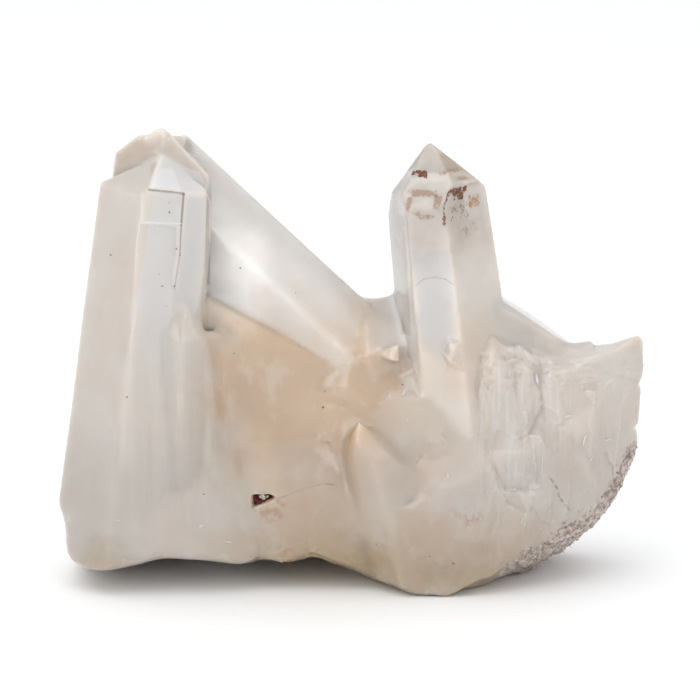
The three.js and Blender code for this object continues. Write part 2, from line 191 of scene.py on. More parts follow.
# The growth faces and broken facets of the solid: triangles that lie in one plane side by side.
facets = bmesh.new()
facets.from_mesh(cluster.data)
bmesh.ops.remove_doubles(facets, verts=facets.verts, dist=1e-7)
facets.faces.ensure_lookup_table()
SAME_PLANE = math.radians(0.6)
facet_of = [-1] * len(facets.faces)
facet_area = []
facet_plane = []
for start in facets.faces:
    if facet_of[start.index] >= 0:
        continue
    number = len(facet_area)
    facet_area.append(0.0)
    facet_plane.append((*start.normal, start.normal.dot(start.verts[0].co) / MM))
    facet_of[start.index] = number
    waiting = [start]
    while waiting:
        face = waiting.pop()
        facet_area[number] += face.calc_area() / MM**2
        for edge in face.edges:
            for other in edge.link_faces:
                if facet_of[other.index] < 0 and other.normal.angle(start.normal, 9) < SAME_PLANE:
                    facet_of[other.index] = number
                    waiting.append(other)
facet_of = np.array(facet_of)
facet_area = np.array(facet_area)
facet_plane = np.array(facet_plane)
facet_tree = BVHTree.FromBMesh(facets)


def facet_at(places):
    """The number of the facet nearest to each place, given in mm."""
    found = [facet_tree.find_nearest(Vector(p) * MM)[2] for p in places]
    return facet_of[np.array(found)]


skin = Skin(baked(cluster.data.copy(), ("REMESH", {"mode": "VOXEL", "voxel_size": GRAIN * MM})))
skin.store(skin.softened(skin.places, WEAR))

# Growth faces are true planes, but for a narrow worn band along their edges.
facet_now = facet_at(skin.places)
at_edge = facet_now[skin.edges[:, 0]] != facet_now[skin.edges[:, 1]]
beside = np.bincount(skin.edges[at_edge].ravel(), minlength=len(skin.places)) > 0
inside = ramp(skin.softened(beside[:, None] * 1.0, 3)[:, 0], 0.25, 0.02)
plane = facet_plane[facet_now]
off_plane = (skin.places * plane[:, :3]).sum(axis=1) - plane[:, 3]
skin.store(skin.places - plane[:, :3] * (off_plane * inside)[:, None])

# The crystals run into each other: creases are filled with the same quartz, most of all low down.
x, y, z = skin.places.T
joined = np.maximum(ramp(z, 66, 50), ramp(x, -22, -18) * ramp(z, 76, 66))
skin.filled(CREASE, 0.5 * np.maximum(joined, 0.25))
MELT_ZONES = [
    # the left tower's foot, the broad face's foot, and the right tower's
    (1.0, ("x", -15, -19), ("z", 52, 34), ("y", -10, -14)),
    (0.5, ("x", -19, -15), ("z", 46, 30), ("y", -4, -9)),
    (0.35, ("z", 52, 44), ("x", 6, 12), ("y", 0, -6)),
    # the small point's head, the slanting crystal's ridge, and the low mass in the middle
    (1.0, ("x", -38, -36), ("x", -25, -27), ("y", -19.4, -20.4), ("z", 60, 56)),
    (0.45, ("x", -27, -23), ("x", 0, -6), ("z", 44, 50)),
    (1.0, ("x", -24, -21), ("x", 2, -2), ("z", 36, 30), ("y", -6, -9)),
    # the corner beside the left tower's foot
    (1.0, ("x", -30, -28), ("x", -16, -20), ("z", 58, 52), ("y", -5, -9)),
]
WORN_ZONES = [
    # the bulge at the left tower's foot, the front blade, and the low mass in the middle
    (1.0, ("x", -45, -43), ("x", -18, -22), ("z", 34, 28), ("y", -13, -16)),
    (0.7, ("x", -6, -3), ("x", 18, 14), ("z", 46, 40), ("y", -12, -15)),
    (1.0, ("x", -26, -23), ("x", 4, 0), ("z", 23, 27), ("z", 40, 36), ("y", -6, -9)),
]
melt = skin.softened(zoned(skin.places, MELT_ZONES)[:, None], 4) * 0.6
worn = skin.softened(zoned(skin.places, WORN_ZONES)[:, None], 4) * 0.8
skin.store(skin.softened(skin.places, MELT, melt))
skin.store(skin.softened(skin.places, WORN, worn))

# How broken each place is: 0 on growth faces and 1 where the quartz has split.
facet_now = facet_at(skin.places)
broken = 1 - ramp(facet_area[facet_now], *BIG_FACE)
broken = skin.softened(broken[:, None], 16)[:, 0]

# The crusted rim lies below and right of this line of [x, height] corners.
RIM = [(26.5, 3.0), (30.5, 6.6), (35.3, 8.6), (39.5, 11.8), (44, 14.2), (47, 15.8), (49.2, 20.0),
       (52.8, 25.6), (56, 26.8)]
RIM_ENDS = (26, 29)  # across
RIM_BACK = (20, 8)


def rim_depth(places):
    """How far below the crust's inner line each place lies, in mm."""
    return np.interp(places[:, 0], *zip(*RIM)) - places[:, 2]


def crust_at(places, first, last):
    """0 on clean quartz and 1 in the crust, easing between two depths under its inner line."""
    covered = ramp(rim_depth(places) + 0.9 * swells(places, 2.2, 91), first, last)
    return covered * ramp(places[:, 0], *RIM_ENDS) * ramp(places[:, 1], *RIM_BACK)


# Broken stone besides the small facets: the glassy front and everything low down. The left tower's
# foot is nearly smooth.
GLASSY = [(0.7, ("x", 21, 27), ("z", 46, 38), ("y", 4, -4))]
LOW_DOWN = [(0.55, ("z", 17, 9))]
SMOOTH_FOOT = [(0.8, ("x", -16, -24), ("y", -8, -12))]
# Height and width in mm, and seed, of the chips and swells of broken stone, the grit of the crust
# and the faint waves of growth faces. Chips in the glassy front are drawn out into splinters.
CHIPS = [(0.3, 4.2, 11), (0.12, 1.7, 29)]
SWELLS = [(0.1, 3.1, 47)]
GRIT = [(0.2, 0.9, 61), (0.14, 1.6, 67)]
WAVES = [(0.02, 2.4, 71)]
CHIP_SINK = 0.16  # mm that broken stone lies under the growth faces
DRAWN_OUT = 0.9

x, y, z = skin.places.T
crusted = crust_at(skin.places, -0.3, 0.6)
glassy = zoned(skin.places, GLASSY)
rock = np.maximum(broken, np.maximum(glassy, zoned(skin.places, LOW_DOWN)))
rock *= 1 - zoned(skin.places, SMOOTH_FOOT)
drawn_out = np.stack([0 * x + 1, 0 * x + 1, 1 - DRAWN_OUT * glassy], axis=1)
relief = sum(high * chipped(skin.places * drawn_out, wide, seed) for high, wide, seed in CHIPS)
relief += sum(high * swells(skin.places, wide, seed) for high, wide, seed in SWELLS)
grit = sum(high * swells(skin.places, wide, seed) for high, wide, seed in GRIT)
growth = sum(high * swells(skin.places * (0.25, 0.25, 1), wide, seed) for high, wide, seed in WAVES)
lift = rock * (relief - CHIP_SINK) + crusted * grit + (1 - rock) * growth

# The left tower's front face is sunk in two growth steps along its left edge.
TOWER_FRONT = (-34.3, -19.7, 63.4)
PANEL_TOP = (76.2, -0.177)  # its height at the middle, and its climb for each mm to the right
PANEL_MIDDLE = -33.9
PANEL_RIGHT = (-30.8, 0.09)  # its right edge at height 75, and its lean for each mm down
PANEL_STEP = 70.3
PANEL_FOOT = (66, 54)
on_front = facet_now == facet_at([TOWER_FRONT])[0]
top_line = PANEL_TOP[0] + PANEL_TOP[1] * (x - PANEL_MIDDLE)
right_line = PANEL_RIGHT[0] - PANEL_RIGHT[1] * (75 - z)
in_panel = on_front * (z < top_line) * (x < right_line)
panel_depth = in_panel * ramp(z, PANEL_FOOT[1], PANEL_FOOT[0]) * (0.16 + 0.07 * (z < PANEL_STEP))

# The little vug in the front: a pit whose mouth is flat above and narrows towards the right. All but
# the half width and height and the depth are shares of its half height.
vug_x, vug_z = -16.6, 17.3
vug_front = facet_tree.ray_cast(Vector((vug_x, -60, vug_z)) * MM, Vector((0, 1, 0)))[0]
VUG = (vug_x, vug_front.y / MM, vug_z)
VUG_HALF = (2.0, 1.2)
VUG_DEPTH = 1.9
VUG_TOP = 0.7  # how high its flat upper edge lies
VUG_WEDGE = (0.62, 0.33)  # half its mouth's height in the middle, and how much less at the right
across = (x - VUG[0]) / VUG_HALF[0]
tall = np.clip(VUG_WEDGE[0] - VUG_WEDGE[1] * across, 0.1, 1)
mouth = np.maximum(abs(across), abs((z - VUG[2]) / VUG_HALF[1] - VUG_TOP + tall) / tall)
pit = ramp(mouth, 1.15, 0.75) * (np.abs(y - VUG[1]) < 4)
moved = skin.places + skin.normals() * (lift - panel_depth)[:, None]
moved[:, 1] += VUG_DEPTH * pit
FLAT_FOOT = (0.7, 0.2)  # heights between which the relief dies out, so that it stands flat
flat_foot = ramp(z, *FLAT_FOOT)
moved[:, 2] = moved[:, 2] * (1 - flat_foot) + z * flat_foot
low_corner = np.array(cad_box[0]) / MM
high_corner = np.array(cad_box[1]) / MM
skin.store(np.clip(moved, low_corner, high_corner))

share = SKIN_TRIANGLES / (2 * len(skin.mesh.polygons))
quartz_mesh = baked(skin.mesh, ("DECIMATE", {"ratio": share, "use_collapse_triangulate": True}))

# Remeshing leaves a few specks of hollow inside, each a shell of its own. They are taken out.
body = bmesh.new()
body.from_mesh(quartz_mesh)
unseen = set(body.verts)
shells = []
while unseen:
    shell = [unseen.pop()]
    for vert in shell:
        beyond = {edge.other_vert(vert) for edge in vert.link_edges} & unseen
        unseen -= beyond
        shell.extend(beyond)
    shells.append(shell)
for shell in sorted(shells, key=len)[:-1]:
    bmesh.ops.delete(body, geom=shell, context="VERTS")
body.to_mesh(quartz_mesh)
quartz_mesh.materials.clear()
quartz_mesh.shade_smooth()
quartz_mesh.name = "quartz_skin"
quartz = bpy.data.objects.new("quartz_skin", quartz_mesh)
bpy.context.scene.collection.objects.link(quartz)
corners = quartz.modifiers.new("flat faces", "WEIGHTED_NORMAL")
corners.weight = 60
corners.keep_sharp = False

# Each growth face has its own tone and painted light. warm runs from cool white to beige, its
# coolest values adding a painted bluish reflection, and light is painted light or shade on the face.
# A facet is named by a place on it, in mm.
FACE_TONE_AND_SHADE = [
    # the left tower: left face, front face and strip, point, cap
    ((-45.7, -18.1, 49.9), 0.02, -0.09),
    ((-34.3, -19.7, 63.4), -0.12, 0.02),
    ((-28.5, -18.3, 65.0), -0.25, -0.12),
    ((-41.7, -16.4, 77.8), 0.08, -0.22),
    ((-31.5, -17.7, 78.0), -0.20, 0.09),
    ((-39.0, -13.9, 83.0), 0.40, -0.18),
    ((-30.7, -15.5, 82.3), 0.20, -0.17),
    # the slanting crystal: upper and lower face
    ((-15.3, -6.4, 66.7), -0.22, 0.15),
    ((-19.0, -11.0, 58.0), -0.30, 0.13),
    # the broad face in the middle, the low crystal behind it, the blunt point
    ((-15.3, -12.2, 35.3), 0.22, 0.01),
    ((6.3, -9.7, 47.2), -0.30, 0.12),
    ((0.6, -15.0, 38.8), 0.55, -0.02),
    # the right tower: narrow left face, front, right, and its point
    ((7.7, -2.5, 64.1), 0.45, -0.04),
    ((13.6, -14.8, 62.5), -0.15, 0.16),
    ((23.0, -11.7, 61.9), 0.08, 0.06),
    ((11.8, -10.3, 76.8), 0.05, 0.30),
    ((19.2, -10.7, 77.8), 0.5, 0.22),
    # glassy corners and broken faces that catch the light
    ((18.3, -17.5, 47.0), -0.2, 0.18),
    ((10.8, -11.2, 54.4), -0.2, 0.10),
    ((3.8, -24.7, 29.6), -0.05, 0.08),
    ((9.0, -26.1, 11.8), 0.25, -0.02),
    ((37.1, -15.6, 34.5), -0.05, 0.05),
    ((43.4, -15.4, 29.9), -0.05, 0.10),
    ((30.6, -17.1, 22.9), 0.15, 0.06),
    ((24.7, -19.1, 26.7), -0.1, 0.06),
    ((31.8, -15.3, 43.6), -0.05, -0.08),
    ((34.6, -15.4, 40.8), -0.05, -0.08),
    ((46.6, -13.5, 35.6), -0.05, 0.0),
    ((49.0, -10.7, 40.7), -0.05, 0.0),
    # the small point on the left tower's front
    ((-31.6, -21.2, 53.4), 0.10, -0.15),
    ((-34.4, -21.5, 47.8), 0.05, -0.12),
    ((-28.9, -21.7, 47.9), 0.05, -0.12),
]
SLANT_AXIS = Vector((-0.728, 0.06, 0.683))
SLANT_FACES = [(-15.3, -6.4, 66.7), (-19.0, -11.0, 58.0)]
chance = np.random.default_rng(4)
warm_of = chance.uniform(-0.10, 0.10, len(facet_area))
tone_and_painted_light_of = chance.uniform(-0.015, 0.02, len(facet_area))
# The listed faces take their warm tone and their painted light or shade.
for place, warm, light in FACE_TONE_AND_SHADE:
    number = facet_at([place])[0]
    warm_of[number], tone_and_painted_light_of[number] = warm, light
axis_of = np.tile((0.0, 0.0, 1.0), (len(facet_area), 1))
for place in SLANT_FACES:
    axis_of[facet_at([place])[0]] = SLANT_AXIS

kept = Skin(quartz_mesh)
facet_here = facet_at(kept.places)
split = 1 - ramp(facet_area[facet_here], *BIG_FACE)
# The light attribute carries each face's random tone and painted light and shade.
for name, kind, key, values in (
    ("warm", "FLOAT", "value", kept.softened(warm_of[facet_here, None], 2)),
    ("light", "FLOAT", "value", kept.softened(tone_and_painted_light_of[facet_here, None], 2)),
    ("growth_axis", "FLOAT_VECTOR", "vector", axis_of[facet_here]),
    ("split", "FLOAT", "value", kept.softened(split[:, None], 6)),
    ("crust", "FLOAT", "value", crust_at(kept.places, -1.2, 1.2)),
):
    attribute = quartz_mesh.attributes.new(name, kind, "POINT")
    attribute.data.foreach_set(key, values.astype(np.float32).ravel())


class Wire:
    """A shader socket. Python's operators on it add Math nodes, and node() adds any other node."""

    def __init__(self, tree, socket=None):
        self.tree, self.socket = tree, socket

    def node(self, kind, settings=None, sockets=None, out=0):
        made = self.tree.nodes.new("ShaderNode" + kind)
        for name, value in (settings or {}).items():
            setattr(made, name, value)
        for name, value in (sockets or {}).items():
            into = made.inputs[name]
            if isinstance(value, Wire):
                self.tree.links.new(value.socket, into)
            else:
                into.default_value = value
        return Wire(self.tree, made.outputs[out])

    def maths(self, operation, *values):
        return self.node("Math", {"operation": operation}, dict(enumerate(values)))

    def __add__(self, other):
        return self.maths("ADD", self, other)

    __radd__ = __add__

    def __sub__(self, other):
        return self.maths("SUBTRACT", self, other)

    def __rsub__(self, other):
        return self.maths("SUBTRACT", other, self)

    def __mul__(self, other):
        return self.maths("MULTIPLY", self, other)

    __rmul__ = __mul__

    def eased(self, start, end):
        """0 at start and 1 at end, easing between them."""
        sockets = {"Value": self, "From Min": start, "From Max": end}
        return self.node("MapRange", {"interpolation_type": "SMOOTHSTEP"}, sockets)

    def clamped(self):
        return self.node("Clamp", sockets={"Value": self})


class Finish(Wire):
    """A new material, with places in mm and the colour and noise nodes that stone needs."""

    def __init__(self, name):
        self.material = bpy.data.materials.new(name)
        self.material.use_nodes = True
        super().__init__(self.material.node_tree)
        self.tree.nodes.clear()
        here = self.node("TexCoord", out=3)
        self.place = self.vector("SCALE", here, Scale=1 / MM)
        self.front = self.part("Y").eased(-6, -9)
        self.noise_seed = 0

    def vector(self, operation, *values, out=0, **named):
        sockets = dict(enumerate(values)) | named
        return self.node("VectorMath", {"operation": operation}, sockets, out)

    def part(self, axis):
        return self.node("SeparateXYZ", sockets={0: self.place}, out="XYZ".index(axis))

    def cloud(self, size, detail=3.0, stretch=(1, 1, 1), rough=0.55):
        """Noise from 0 to 1 with patches of a size in mm."""
        self.noise_seed += 7.3
        place = self.vector("MULTIPLY_ADD", self.place, stretch, (self.noise_seed,) * 3)
        sockets = {"Vector": place, "Scale": 1 / size, "Detail": detail, "Roughness": rough}
        return self.node("TexNoise", sockets=sockets)

    def spot(self, centre, reach, core=0.25):
        """1 in a soft blob's core, a share of its size, and 0 past its reach along x, y and z."""
        away = self.vector("SUBTRACT", self.ragged, centre)
        away = self.vector("DIVIDE", away, reach)
        return self.vector("LENGTH", away, out=1).eased(1, core)

    def patches(self, spots):
        """Soft blobs added up, each given as its middle, its reach, its strength and its core."""
        total = 0.0
        for middle, reach, strength, *core in spots:
            total = self.spot(middle, reach, *core) * strength + total
        return total

    def line(self, start, end, half):
        """1 along a straight line drawn on the front, from one [x, height] place to another."""
        start, end = Vector((start[0], 0, start[1])), Vector((end[0], 0, end[1]))
        way = end - start
        off = self.vector("MULTIPLY_ADD", self.place, (1, 0, 1), -start)
        along = self.vector("DOT_PRODUCT", off, way / way.length_squared, out=1).clamped()
        away = self.vector("SUBTRACT", off, self.vector("SCALE", way, Scale=along))
        return self.vector("LENGTH", away, out=1).eased(half, half * 0.35) * self.front

    def lines(self, drawn):
        """Straight lines added up, each given as its two ends, its half width and its strength."""
        total = 0.0
        for start, end, half, strength in drawn:
            total = self.line(start, end, half) * strength + total
        return total

    def panel(self, outline, soft):
        """1 inside a convex outline drawn on the front, its [x, height] corners given clockwise."""
        mask = self.front
        for (x0, z0), (x1, z1) in zip(outline, outline[1:] + outline[:1]):
            length = math.hypot(x1 - x0, z1 - z0)
            inward = Vector((z1 - z0, 0, x0 - x1)) / length
            reach = self.vector("DOT_PRODUCT", self.place, inward, out=1) - inward.dot((x0, 0, z0))
            mask = mask * reach.eased(0, soft)
        return mask

    def blend(self, under, over, share):
        return self.node("Mix", {"data_type": "RGBA"}, {0: share, 6: under, 7: over}, 2)

    def shaded(self, settings, **varying):
        sockets = dict(settings)
        sockets.update({name.replace("_", " "): wire for name, wire in varying.items()})
        return self.node("BsdfPrincipled", sockets=sockets)

    def bump(self, height, strength, distance):
        sockets = {"Height": height, "Strength": strength, "Distance": distance}
        return self.node("Bump", sockets=sockets)

    def finished(self, surface, volume=None):
        out = self.tree.nodes.new("ShaderNodeOutputMaterial")
        self.tree.links.new(surface.socket, out.inputs["Surface"])
        if volume:
            self.tree.links.new(volume.socket, out.inputs["Volume"])
        return self.material


def tone(red, green, blue):
    """A display colour of 0 to 255 a channel as the linear colour that a socket takes."""
    linear = [((c / 255 + 0.055) / 1.055) ** 2.4 for c in (red, green, blue)]
    return (*linear, 1.0)


stone = Finish("milky_quartz")
WANDER = 0.14  # waves a millimetre in the outlines of soft patches, and how far they stray in mm
STRAY = (9, 9, 9)
wander = stone.node("TexNoise", sockets={"Vector": stone.place, "Scale": WANDER}, out=1)
wander = stone.vector("SUBTRACT", wander, (0.5, 0.5, 0.5))
stone.ragged = stone.vector("MULTIPLY_ADD", wander, STRAY, stone.place)
face_warm = stone.node("Attribute", {"attribute_name": "warm"}, out=2)
face_painted_light = stone.node("Attribute", {"attribute_name": "light"}, out=2)
split_here = stone.node("Attribute", {"attribute_name": "split"}, out=2)
crust_mask = stone.node("Attribute", {"attribute_name": "crust"}, out=2)

COOL = tone(184, 177, 169)
PAINTED_REFLECTION = tone(186, 183, 180)
BEIGE = tone(175, 152, 128)
EARTH = tone(158, 136, 102)
PINKISH = tone(183, 170, 161)
VEIL = tone(197, 193, 187)

# Soft patches of beige, of earthy brown low down, and of painted light and shade: the middle and
# reach of each in mm, how strong it is, and how much of it is even.
BEIGE_PATCHES = [
    ((-12, -4, 35), (28, 40, 30), 0.95), ((8, -8, 28), (20, 40, 22), 0.45),
    ((-8, -6, 10), (26, 40, 15), 0.75), ((22, -8, 8), (24, 40, 15), 0.6),
    ((4, -6, 46), (10, 20, 12), 0.5), ((20, -12, 44), (11, 20, 13), 0.4),
    ((-20, -12, 44), (13, 20, 14), 0.3),
]
EARTH_PATCHES = [
    ((-2, -12, 4), (24, 34, 13), 0.8), ((22, -12, 3), (18, 30, 9), 0.6),
    ((-47, -20, 6), (7, 20, 7), 0.45),
]
PAINTED_LIGHT_PATCHES = [
    ((-21, -11, 59), (9, 9, 13), 0.32, 0.1), ((-48, -18, 20), (13, 16, 32), -0.03, 0.3),
    ((-37, -20, 46), (8, 12, 14), -0.04, 0.3), ((34, -8, 51), (12, 24, 8), -0.17, 0.3),
    ((22, -20, 6), (14, 16, 8), -0.07, 0.3), ((15, -15, 52), (6, 10, 9), -0.18, 0.4),
    ((-18.5, -12, 24), (9, 14, 10), 0.17, 0.3), ((-7.6, -12, 31), (8, 14, 7), 0.08, 0.3),
    ((-21, -12, 46), (6, 14, 10), 0.1, 0.3),
]
# Painted light: the front is painted brighter above these heights.
PAINTED_UPPER_LIGHT = (22, 36, 0.12)  # the front is brighter above these heights, and by how much

warmth = stone.patches(BEIGE_PATCHES)
warmth = (warmth + face_warm + (stone.cloud(11) - 0.5) * 0.5).clamped()
earth = stone.patches(EARTH_PATCHES)
earth = (earth * (0.55 + stone.cloud(6))).clamped()
pink = (stone.cloud(17) - 0.42).eased(0, 0.2) * 0.6

colour = stone.blend(COOL, PINKISH, pink)
# Faces with the coolest warm values take a painted bluish reflection.
colour = stone.blend(colour, PAINTED_REFLECTION, face_warm.eased(-0.08, -0.3))
colour = stone.blend(colour, BEIGE, warmth)
colour = stone.blend(colour, EARTH, earth)
veils = stone.cloud(6, 5, (1, 1, 0.7), 0.6).eased(0.5, 0.74) * 0.26
colour = stone.blend(colour, VEIL, veils)
painted_light_level = face_painted_light + (stone.cloud(2.6, 4) - 0.5) * 0.05
painted_light_level = painted_light_level + stone.patches(PAINTED_LIGHT_PATCHES)
painted_light_level = painted_light_level + stone.part("Z").eased(*PAINTED_UPPER_LIGHT[:2]) * stone.front * PAINTED_UPPER_LIGHT[2]
# The colour is brightened or darkened by the painted light and shade.
colour_with_painted_light = stone.vector("SCALE", colour, Scale=1 + painted_light_level)
# Painted shade along the edges of the two growth steps in the left tower's front: each line's ends
# as
# [x, height], its half width in mm and its strength.
STEP_EDGE_SHADE = [
    ((-37.0, 76.7), (-30.8, 75.6), 0.34, 0.8), ((-30.8, 75.6), (-31.3, 69.9), 0.3, 0.75),
    ((-31.3, 69.9), (-31.6, 64.2), 0.22, 0.6), ((-31.6, 64.2), (-32.7, 57.9), 0.2, 0.4),
    ((-26.4, 75.6), (-26.9, 57.0), 0.4, 0.5),
]
edges = stone.lines(STEP_EDGE_SHADE).clamped()
colour_with_painted_light = stone.blend(colour_with_painted_light, tone(122, 108, 100), edges)
# A painted highlight along the edge where the lower growth step starts.
step_edge_highlight = stone.lines([((-37.7, 70.6), (-31.3, 70.1), 0.2, 0.6)])
colour_with_painted_light = stone.blend(colour_with_painted_light, tone(214, 210, 208), step_edge_highlight)
# A painted bluish sheen over the left tower's front, fading out downwards.
LEFT_SHEEN_PANEL = [
    (-38.9, 77.0), (-30.9, 75.9), (-32.4, 58.0), (-35.5, 38.0), (-43.0, 38.0), (-40.9, 50.0)]
left_sheen = stone.part("Z").eased(40, 56) * stone.panel(LEFT_SHEEN_PANEL, 0.4)
colour_with_painted_light = stone.blend(colour_with_painted_light, tone(193, 194, 196), left_sheen * 0.45)
# Painted sheens, highlights and shade on single faces, and one clouded strip: their corners as
# [x, height], how soft their edge is in mm, their tone and its strength.
PANELS = [
    # the left tower's tip: painted sheen on its face, a painted highlight on the facet under that,
    # and painted shade in the dent at its left
    ([(-35.2, 82.1), (-27.9, 79.2), (-26.1, 75.7), (-37.4, 76.8)], 0.3, (193, 192, 193), 0.55),
    ([(-36.7, 77.1), (-35.2, 80.3), (-32.8, 80.2), (-30.9, 76.1)], 0.35, (208, 206, 205), 0.6),
    ([(-37.1, 77.1), (-37.3, 80.9), (-34.9, 82.0)], 0.7, (152, 132, 118), 0.5),
    # the right tower: the clouded strip at its left edge, and the painted sheen of its front
    ([(7.3, 70.5), (10.2, 70.5), (11.4, 47.0), (9.0, 47.0)], 0.6, (170, 157, 144), 0.55),
    ([(10.7, 64.8), (18.4, 65.1), (19.4, 55.3), (19.0, 46.5), (16.4, 43.6), (13.2, 47.5),
      (11.5, 57.0)], 0.8, (185, 186, 189), 0.42),
]
for outline, soft, shade, strength in PANELS:
    colour_with_painted_light = stone.blend(colour_with_painted_light, tone(*shade), stone.panel(outline, soft) * strength)
STRIP_LINES = [((8.2, 69.4), (9.8, 48.0), 0.35, 0.4), ((9.5, 68.6), (10.9, 50.0), 0.3, 0.25)]
colour_with_painted_light = stone.blend(colour_with_painted_light, tone(148, 136, 126), stone.lines(STRIP_LINES))
GROWTH_LINE = [(12.0, 57.7), (13.4, 58.9), (15.4, 59.4), (17.4, 59.1), (19.0, 58.1)]
growth_line = stone.lines((*ends, 0.2, 0.4) for ends in zip(GROWTH_LINE, GROWTH_LINE[1:]))
colour_with_painted_light = stone.blend(colour_with_painted_light, tone(150, 146, 146), growth_line.clamped())
# Upright veils and splits in the glassy front and in the left tower's foot.
streaks = stone.cloud(2.0, 3, (1, 1, 0.045), 0.5)
VEINED = [
    ((32, -16, 38), (12, 12, 12), 1.0, 0.5), ((32, -18, 24), (7, 9, 8), 1.0, 0.4),
    ((-34, -20, 30), (14, 14, 26), 0.3, 0.4),
]
glassy_front = stone.patches(VEINED).clamped()
colour_with_painted_light = stone.blend(colour_with_painted_light, tone(206, 203, 199), glassy_front * streaks.eased(0.52, 0.64) * 0.5)
colour_with_painted_light = stone.blend(colour_with_painted_light, tone(156, 143, 133), glassy_front * streaks.eased(0.46, 0.36) * 0.4)
# The open cleft in the front, painted bright where its clean sides catch the light, with a dark
# split at its right.
CLEFT = [(25.0, 27.6), (34.8, 27.6), (34.9, 19.9), (28.6, 19.9)]
colour_with_painted_light = stone.blend(colour_with_painted_light, tone(206, 199, 194), stone.panel(CLEFT, 0.7) * 0.35)
DARK_SPLIT = [(37.0, 22.0), (38.4, 19.7), (38.9, 17.9), (40.9, 15.2)]
split_line = stone.lines((*ends, 0.34, 1.0) for ends in zip(DARK_SPLIT, DARK_SPLIT[1:]))
split_line = (split_line * stone.cloud(0.9, 4).eased(0.35, 0.6)).clamped()
colour_with_painted_light = stone.blend(colour_with_painted_light, tone(134, 120, 102), split_line * 0.7)
# Rust that has crept along the lower edge and round the vug.
CREPT = [
    (VUG, (4.2, 5, 3.4), 0.4, 0.4), ((-12, -22, 8.6), (5, 6, 2.2), 0.5, 0.2),
    ((21.5, -22, 16.5), (4.4, 6, 3.2), 0.45, 0.2),
]
creep = stone.patches(CREPT) * stone.cloud(1.3, 4).eased(0.4, 0.62)
rusted = stone.blend(colour_with_painted_light, tone(150, 98, 52), creep)
grime = stone.cloud(0.9, 5, rough=0.7)
CRUST_DARK = tone(121, 105, 93)
CRUST_PALE = tone(190, 178, 170)
crust_tone = stone.blend(CRUST_DARK, CRUST_PALE, grime.eased(0.36, 0.6))
crust_cover = (crust_mask + (stone.cloud(2.2, 4) - 0.5) * 0.7).eased(0.42, 0.62)
stained = stone.blend(rusted, crust_tone, crust_cover)

along = stone.vector("DOT_PRODUCT", stone.place,
                     stone.node("Attribute", {"attribute_name": "growth_axis"}, out=1), out=1)
lines = stone.node("TexNoise", {"noise_dimensions": "1D"}, {"W": along, "Scale": 1.6, "Detail": 3.0})
relief_now = lines * (1 - split_here) * 0.5 + stone.cloud(1.1, 4) * 0.5 + grime * crust_cover * 2.5
normal = stone.bump(relief_now, 0.28, 0.0001)
roughness = 0.16 + split_here * 0.16 + crust_cover * 0.5 + (stone.cloud(7, 4) - 0.5) * 0.12

MILKY = {
    "IOR": 1.544,
    "Specular IOR Level": 0.75,
    "Subsurface Weight": 1.0,
    "Subsurface Radius": (1.0, 0.92, 0.85),
    "Subsurface Scale": 0.0042,
    "Coat Roughness": 0.03,
    "Coat IOR": 1.544,
}
milk = stone.shaded(MILKY, Base_Color=stained, Roughness=roughness, Normal=normal,
                    Coat_Weight=0.35 * (1 - crust_cover))
CLEAR = {
    "IOR": 1.544,
    "Transmission Weight": 1.0,
    "Base Color": (0.97, 0.955, 0.945, 1),
    "Roughness": 0.03,
}
ABSORBED = {"Color": (0.93, 0.86, 0.8, 1), "Density": 8.0}  # for each metre of quartz
glass = stone.shaded(CLEAR, Normal=normal)
clearness = stone.spot((15, -6, 76), (15, 18, 24), 0.45) * 0.43
clearness = (clearness * (1.35 - stone.cloud(4, 4) * 0.7)).clamped() * (1 - creep)
surface = stone.node("MixShader", sockets={0: clearness, 1: milk, 2: glass})
depth = stone.node("VolumeAbsorption", sockets=ABSORBED)
quartz_mesh.materials.append(stone.finished(surface, depth))
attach(quartz, "root")
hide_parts("quartz_cluster")

# ---- The ghost in the right tower ----------------------------------------------------------------
# An earlier, smaller shape of the same crystal, sealed inside its clear tip: a thin veil of cloud
# shut in when growth paused. It is quartz in quartz, and shows through the faces.


def piece(name, mesh, material):
    """A new part of the cluster, riding on its only body."""
    mesh.name = name
    mesh.materials.clear()
    mesh.materials.append(material)
    made = bpy.data.objects.new(name, mesh)
    bpy.context.scene.collection.objects.link(made)
    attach(made, "root")
    return made


def body_inside(planes, size=200):
    """The solid inside some planes, each a normal and a point in mm."""
    body = bmesh.new()
    bmesh.ops.create_cube(body, size=size)
    for normal, point in planes:
        parts = body.verts[:] + body.edges[:] + body.faces[:]
        cut = bmesh.ops.bisect_plane(
            body, geom=parts, plane_co=point, plane_no=normal, clear_outer=True)
        rim = [g for g in cut["geom_cut"] if isinstance(g, bmesh.types.BMEdge)]
        bmesh.ops.edgeloop_fill(body, edges=rim)
    return body


